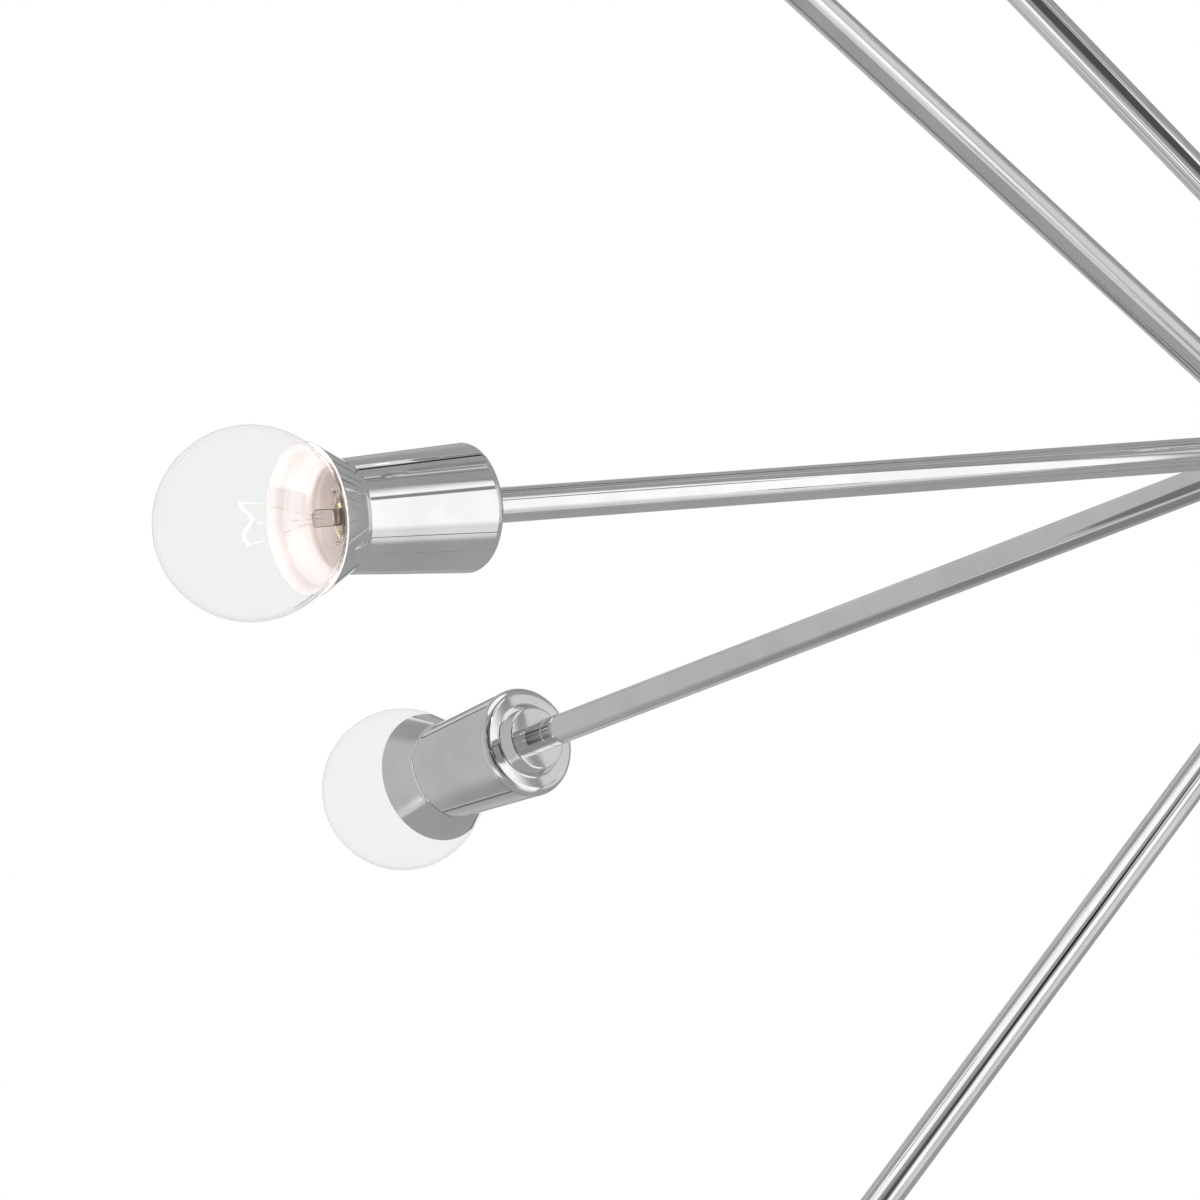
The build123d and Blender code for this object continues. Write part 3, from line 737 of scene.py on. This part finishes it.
# ---------------------------------------------------------------- the rest of the fixture
def dress_nodes(materials):
    """Gives each carried-over CAD node its material."""
    wear = {
        "hub_chrome": materials["hub"],
        "tube_chrome": materials["tube"],
        "canopy_chrome": materials["canopy"],
        "socket_insulator": materials["insulator"],
        "socket_brass": materials["socket_brass"],
        "plated_nut": materials["zinc"],
        "galvanised_strap": materials["galvanised"],
        "cup_chrome": materials["cup"],
        "bulb_glass": materials["glass"],
        "bulb_base_metal": materials["base"],
    }
    for subpart in frame["record"]["subparts"]:
        node = frame["nodes"][subpart["node"]]
        for slot in node.material_slots:
            slot.material = wear[subpart["material_slot"]]


# ---------------------------------------------------------------- studio
# What polished metal sees: azimuth, elevation, half width, half height, side edge, end edge, brightness.
SOFT_BOXES = [
    (165, 8, 56, 62, 18, 18, 0.55),
    (100, -4, 52, 54, 14, 14, 0.54),  # the wall behind the fixture
    (90, -66, 28, 14, 12, 12, 0.25),
    (330, 6, 28, 25, 14, 6, 0.74),
    (298, -26, 17, 22, 9, 13, 0.86),
    (190, -44, 22, 8, 12, 6, 0.7),
    (302, 12, 13, 39, 3, 14, 1.18),
    (221, -32, 21, 12, 12, 6, 1.1),
    (266, 22, 30, 34, 11, 14, 0.09),
    (56, -7, 19, 19, 4, 3, 0.2),  # the rim and then the white of the backdrop
    (56, -7, 14, 14, 3, 3, 0.95),
]
CRISP = 3  # a box whose side edge is no softer than this has a dark rim along its sides
BOX_RIM = 1.2  # degrees
RIM_BRIGHTNESS = 0.1
RIM_COVER = 0.6
# Lamp stands and wall edges: azimuth, elevation, half width, half height, brightness.
STANDS = [
    (29, 46, 2.0, 18, 0.03),
    (12, 8, 0.7, 14, 0.08),
    (20, 2, 0.5, 22, 0.1),
    (33, 4, 0.8, 24, 0.06),
    (352, 54, 1.0, 9, 0.12),
    (344, 54, 1.0, 9, 0.85),
    (336, 54, 0.7, 9, 0.2),
    (306, -33, 16, 0.8, 0.14),
    (306, -35.5, 16, 0.7, 0.75),
    (321, -4, 0.6, 14, 0.3),
    (324, -4, 0.8, 14, 1.0),
    (149, -8, 3.5, 38, 0.2),
    (159, -8, 4.5, 36, 0.95),
    (95, 33, 32, 3, 0.25),
    (95, 39, 34, 3, 0.85),
    (150, -52, 12, 5, 0.66),
    (303, 33, 7, 3.5, 0.3),
    (289, 46, 4.5, 7, 0.02),
    (84, 14, 1.6, 6, 0.12),
    (79, 14, 1.2, 6, 0.85),
    (76, -51, 1.6, 5, 0.15),
    (82, -51, 1.4, 5, 0.5),
]
ROOM = 0.38
CEILING = 1.15
GROUND = 0.39
CEILING_EDGE = 64, 70  # elevations between which the room turns into the ceiling
GROUND_EDGE = -38, -58  # and into the ground
THROUGH_GLASS = 0.9  # the white background as the thin globes show it
DAYLIGHT = 0.75  # the even light that falls on matt surfaces


def studio_brightness(shader):
    """The brightness of the studio in each direction, as a mirror would show it."""
    ray = shader.node("ShaderNodeTexCoord").outputs["Generated"]
    height = shader.node("ShaderNodeSeparateXYZ", {0: ray}).outputs[2]

    def cover(azimuth, elevation, half_width, half_height, side_edge, end_edge):
        out = direction(azimuth, elevation)
        side = direction(azimuth + 90, 0)
        ahead = shader.math("MAXIMUM", shader.dot(ray, out), 0.01)
        masks = []
        for way, half, edge in ((side, half_width, side_edge), (out.cross(side), half_height, end_edge)):
            value = shader.math("ABSOLUTE", shader.math("DIVIDE", shader.dot(ray, way), ahead))
            masks.append(shader.ramp(value, tan(radians(half)), tan(radians(max(half - edge, 0)))))
        return shader.math("MULTIPLY", *masks)

    level = shader.ramp(height, *(sin(radians(edge)) for edge in GROUND_EDGE), ROOM, GROUND)
    for azimuth, elevation, half_width, half_height, side_edge, end_edge, brightness in SOFT_BOXES:
        place = azimuth, elevation
        if side_edge <= CRISP:
            rim = cover(*place, half_width + BOX_RIM, half_height, BOX_RIM / 2, end_edge)
            level = shader.mix(shader.math("MULTIPLY", rim, RIM_COVER), level, RIM_BRIGHTNESS)
        level = shader.mix(cover(*place, half_width, half_height, side_edge, end_edge), level, brightness)
    for azimuth, elevation, half_width, half_height, brightness in STANDS:
        edge = min(half_width, half_height) / 2
        level = shader.mix(
            cover(azimuth, elevation, half_width, half_height, edge, edge), level, brightness
        )
    overhead = shader.ramp(height, *(sin(radians(edge)) for edge in CEILING_EDGE))
    return shader.mix(overhead, level, CEILING)


def set_world():
    world = bpy.data.worlds.new("studio")
    bpy.context.scene.world = world
    world.use_nodes = True
    shader = Shader(world.node_tree)
    path = shader.node("ShaderNodeLightPath").outputs
    lit = shader.mix(path["Is Glossy Ray"], DAYLIGHT, studio_brightness(shader))
    through = shader.mix(path["Is Transmission Ray"], lit, THROUGH_GLASS)
    level = shader.mix(path["Is Camera Ray"], through, 1.0)
    background = shader.add("ShaderNodeBackground", {"Color": (1, 1, 1, 1), "Strength": level})
    shader.node("ShaderNodeOutputWorld", {"Surface": background})


def add_lamp(name, place, size, power):
    """A large soft lamp aimed at the hub."""
    hub = Vector((0, 0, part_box("hub_tee")[0].z))
    data = bpy.data.lights.new(name, "AREA")
    data.shape = "DISK"
    data.size = size
    data.energy = power
    lamp = bpy.data.objects.new(name, data)
    lamp.location = place
    lamp.rotation_euler = (hub - Vector(place)).to_track_quat("-Z", "Y").to_euler()
    lamp.visible_glossy = False
    lamp.visible_camera = False
    bpy.context.scene.collection.objects.link(lamp)


def make_floor():
    mesh = bmesh.new()
    bmesh.ops.create_circle(mesh, cap_ends=True, segments=64, radius=FLOOR_R)
    data = bpy.data.meshes.new("floor")
    mesh.to_mesh(data)
    mesh.free()
    floor = bpy.data.objects.new("floor", data)
    floor.location = (0, 0, FLOOR_Z)
    data.materials.append(pale_floor())
    bpy.context.scene.collection.objects.link(floor)
    floor.visible_glossy = False


materials = {
    "tube": chrome("tube_polished_chrome", (0.78, 0.78, 0.785), (0.83, 0.83, 0.835)),
    "cup": chrome("cup_polished_chrome", (0.76, 0.76, 0.765), (0.82, 0.82, 0.825), turned=True),
    "hub": chrome("hub_polished_chrome", (0.77, 0.77, 0.775), (0.83, 0.83, 0.835)),
    "canopy": chrome("canopy_polished_chrome", (0.77, 0.77, 0.775), (0.82, 0.82, 0.825)),
    "cup_inside": cup_inside(),
    "glass": clear_glass("bulb_clear_glass", 1.065, (0.985, 0.985, 0.985), (0.995, 0.995, 0.995)),
    "stem_glass": clear_glass("bulb_stem_glass", 1.12, (0.98, 0.98, 0.98), (0.99, 0.99, 0.99)),
    "base": brass("bulb_base_brass", (0.74, 0.65, 0.5), (0.9, 0.82, 0.66), 0.2, 0.34),
    "socket_brass": brass("socket_stamped_brass", (0.6, 0.44, 0.24), (0.84, 0.65, 0.38), 0.24, 0.4),
    "insulator": insulator(),
    "zinc": zinc(),
    "galvanised": galvanised(),
    "filament": lit_filament(),
    "lead_wire": lead_wire(),
}
set_camera()
make_lights(materials)
dress_nodes(materials)
set_world()
make_floor()
for lamp in LAMPS:
    add_lamp(*lamp)
bpy.context.scene.view_settings.view_transform = "Standard"
